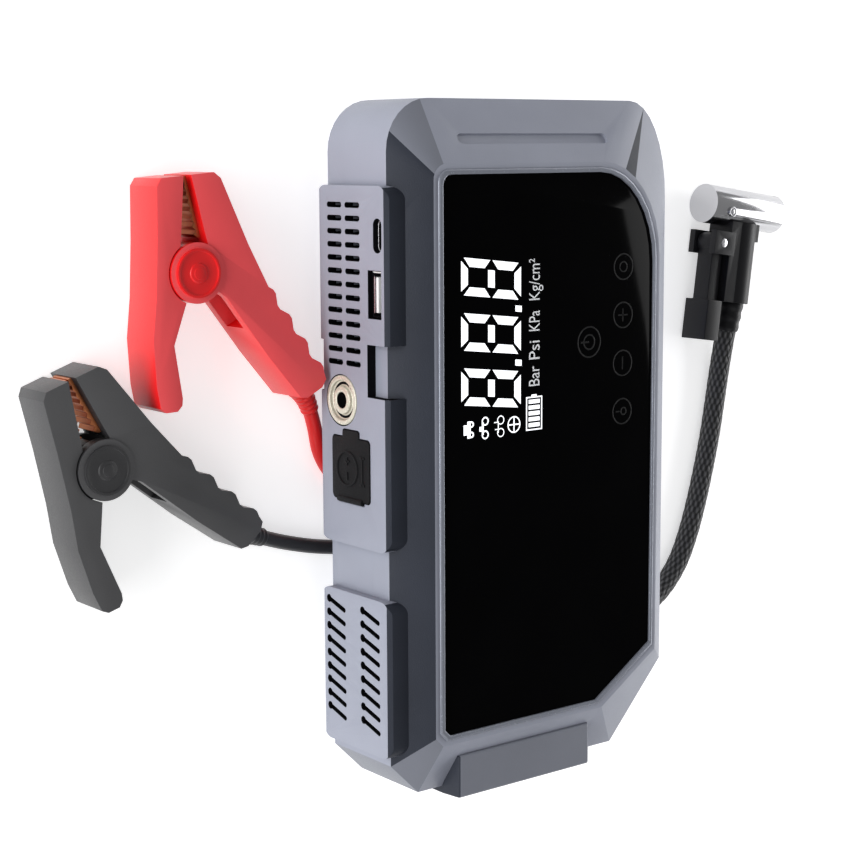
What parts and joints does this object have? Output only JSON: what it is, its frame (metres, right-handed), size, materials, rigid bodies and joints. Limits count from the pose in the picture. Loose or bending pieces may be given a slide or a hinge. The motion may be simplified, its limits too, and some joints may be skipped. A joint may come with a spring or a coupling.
{
  "type": "jump starter pack",
  "caption": "Lying car jump starter pack with a display, side ports, a lamp, two sprung clamps on leads and a braided air hose with a lever chuck.",
  "frame": {"origin": "middle of the back face, on the surface that the pack lies on", "axes": "+X along the pack away from the lamp, +Y to the ports, +Z out of the display"},
  "size_m": [0.2062, 0.2921, 0.0487],
  "materials": {
    "case_grey": "satin moulded grey",
    "lamp_grey": "satin moulded grey",
    "rim_grey": "bright bevel",
    "display_black": "glossy black panel",
    "display_white": "lit segments",
    "board_green": "solder mask",
    "board_white": "white solder mask",
    "socket_steel": "plain steel",
    "port_ivory": "ivory plastic",
    "black_plastic": "satin black",
    "gold_contact": "gold plated",
    "black_rubber": "matt rubber",
    "cell_blue": "wrapped cell",
    "relay_blue": "moulded case",
    "bare_aluminium": "die cast",
    "clear_pipe": "silicone",
    "lamp_clear": "clear lens",
    "red_cable": "silicone sheath",
    "black_cable": "silicone sheath",
    "plug_blue": "nylon",
    "braid_black": "woven sleeve",
    "chrome_head": "polished",
    "red_clamp": "satin red",
    "black_clamp": "satin black",
    "copper_jaw": "copper plated, toothed"
  },
  "bodies": {
    "pack": {"front_shell": "case_grey", "back_shell": "case_grey", "port_panel": "case_grey", "vent_panel": "case_grey", "display_rim": "rim_grey", "display_glass": "display_black", "led_display": "display_white", "touch_board": "board_green", "main_board": "board_green", "port_board": "board_green", "usb_c_socket": "socket_steel", "usb_a_socket": "socket_steel", "dc_socket": "port_ivory", "jump_socket": "black_plastic", "socket_contacts": "gold_contact", "battery_cells": "cell_blue", "battery_tray": "black_plastic", "relay": "relay_blue", "heat_sink": "bare_aluminium", "motor_can": "socket_steel", "pump_cylinder": "bare_aluminium", "pump_head": "bare_aluminium", "pump_bracket": "black_plastic", "air_pipe": "clear_pipe", "pressure_sensor": "black_plastic", "lamp_housing": "lamp_grey", "lamp_board": "board_white", "lamp_lens": "lamp_clear", "rubber_feet": "black_rubber", "case_screws": "socket_steel", "red_cable_handle": "red_clamp", "red_cable_jaw": "copper_jaw", "red_pivot_pin": "red_clamp", "red_spring": "socket_steel", "black_cable_handle": "black_clamp", "black_cable_jaw": "copper_jaw", "black_pivot_pin": "black_clamp", "black_spring": "socket_steel", "red_lead": "red_cable", "black_lead": "black_cable", "lead_plug": "plug_blue", "plug_contacts": "gold_contact", "hose_gland": "black_plastic", "air_hose": "braid_black", "chuck_body": "black_plastic", "chuck_head": "chrome_head", "chuck_seal": "black_rubber", "lever_pin": "socket_steel"},
    "red_squeeze_side": {"red_squeeze_handle": "red_clamp", "red_squeeze_jaw": "copper_jaw"},
    "black_squeeze_side": {"black_squeeze_handle": "black_clamp", "black_squeeze_jaw": "copper_jaw"},
    "lever": {"chuck_lever": "black_plastic"},
    "cover": {"port_cover": "black_rubber"},
    "crank": {"crankshaft": "socket_steel", "cooling_fan": "black_plastic"},
    "pump_piston": {"piston": "bare_aluminium"}
  },
  "joints": [
    {"name": "red_clamp_hinge", "type": "hinge", "parent": "pack", "child": "red_squeeze_side", "pos_m": [0.054, 0.103, 0.0075], "axis": [0, 0, 1], "range_deg": [0, 25], "stiffness_Nm_per_rad": 0.3, "springref_deg": -20.05, "deforming": ["red_spring"]},
    {"name": "black_clamp_hinge", "type": "hinge", "parent": "pack", "child": "black_squeeze_side", "pos_m": [0.002, 0.133, 0.0075], "axis": [0, 0, 1], "range_deg": [0, 25], "stiffness_Nm_per_rad": 0.3, "springref_deg": -20.05, "deforming": ["black_spring"]},
    {"name": "chuck_lever_hinge", "type": "hinge", "parent": "pack", "child": "lever", "pos_m": [0.05473, -0.1098, 0.0067], "axis": [0, 0, -1], "range_deg": [0, 90]},
    {"name": "port_cover_hinge", "type": "hinge", "parent": "pack", "child": "cover", "pos_m": [-0.014, 0.0583, 0.0244], "axis": [0, 0, 1], "range_deg": [0, 110]},
    {"name": "motor_spin", "type": "hinge", "parent": "pack", "child": "crank", "pos_m": [0.033, 0.02, 0.0185], "axis": [1, 0, 0], "continuous": true},
    {"name": "piston_slide", "type": "slide", "parent": "pack", "child": "pump_piston", "axis": [0, 1, 0], "range_m": [-0.0049, 0.0049]}
  ]
}
